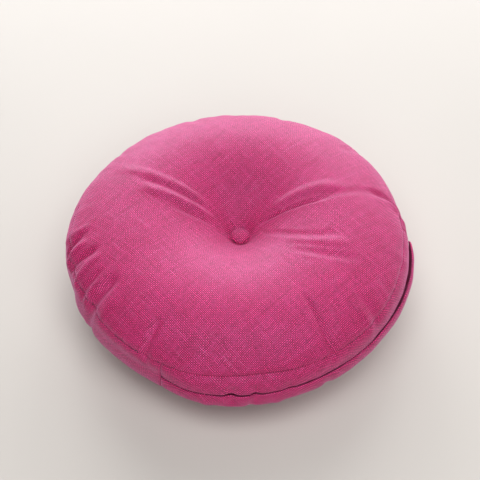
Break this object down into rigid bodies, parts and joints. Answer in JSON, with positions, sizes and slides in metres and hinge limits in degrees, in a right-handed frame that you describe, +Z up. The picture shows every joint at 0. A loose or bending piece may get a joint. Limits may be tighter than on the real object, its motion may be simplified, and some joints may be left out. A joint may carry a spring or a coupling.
{
  "type": "zafu meditation cushion",
  "caption": "Round, filled floor cushion with a crowned top drawn in by a covered button, a side strip and a zip opening part of the way round.",
  "frame": {"origin": "middle of the cushion's outline, on the surface that it rests on", "axes": "+Z up out of the top panel, -Y towards the front, where the zip opening starts at the left and runs round to +X"},
  "size_m": [0.4002, 0.3982, 0.1252],
  "materials": {
    "panel_cloth": "coarse plain weave, matt",
    "strip_cloth": "coarse plain weave, matt",
    "button_cloth": "coarse plain weave stretched over a button, matt"
  },
  "bodies": {
    "root": {"cushion": "panel_cloth", "gusset_plain": "strip_cloth", "zip_band_upper": "strip_cloth", "zip_band_lower": "strip_cloth", "button_top": "button_cloth", "button_bottom": "button_cloth"}
  },
  "joints": []
}
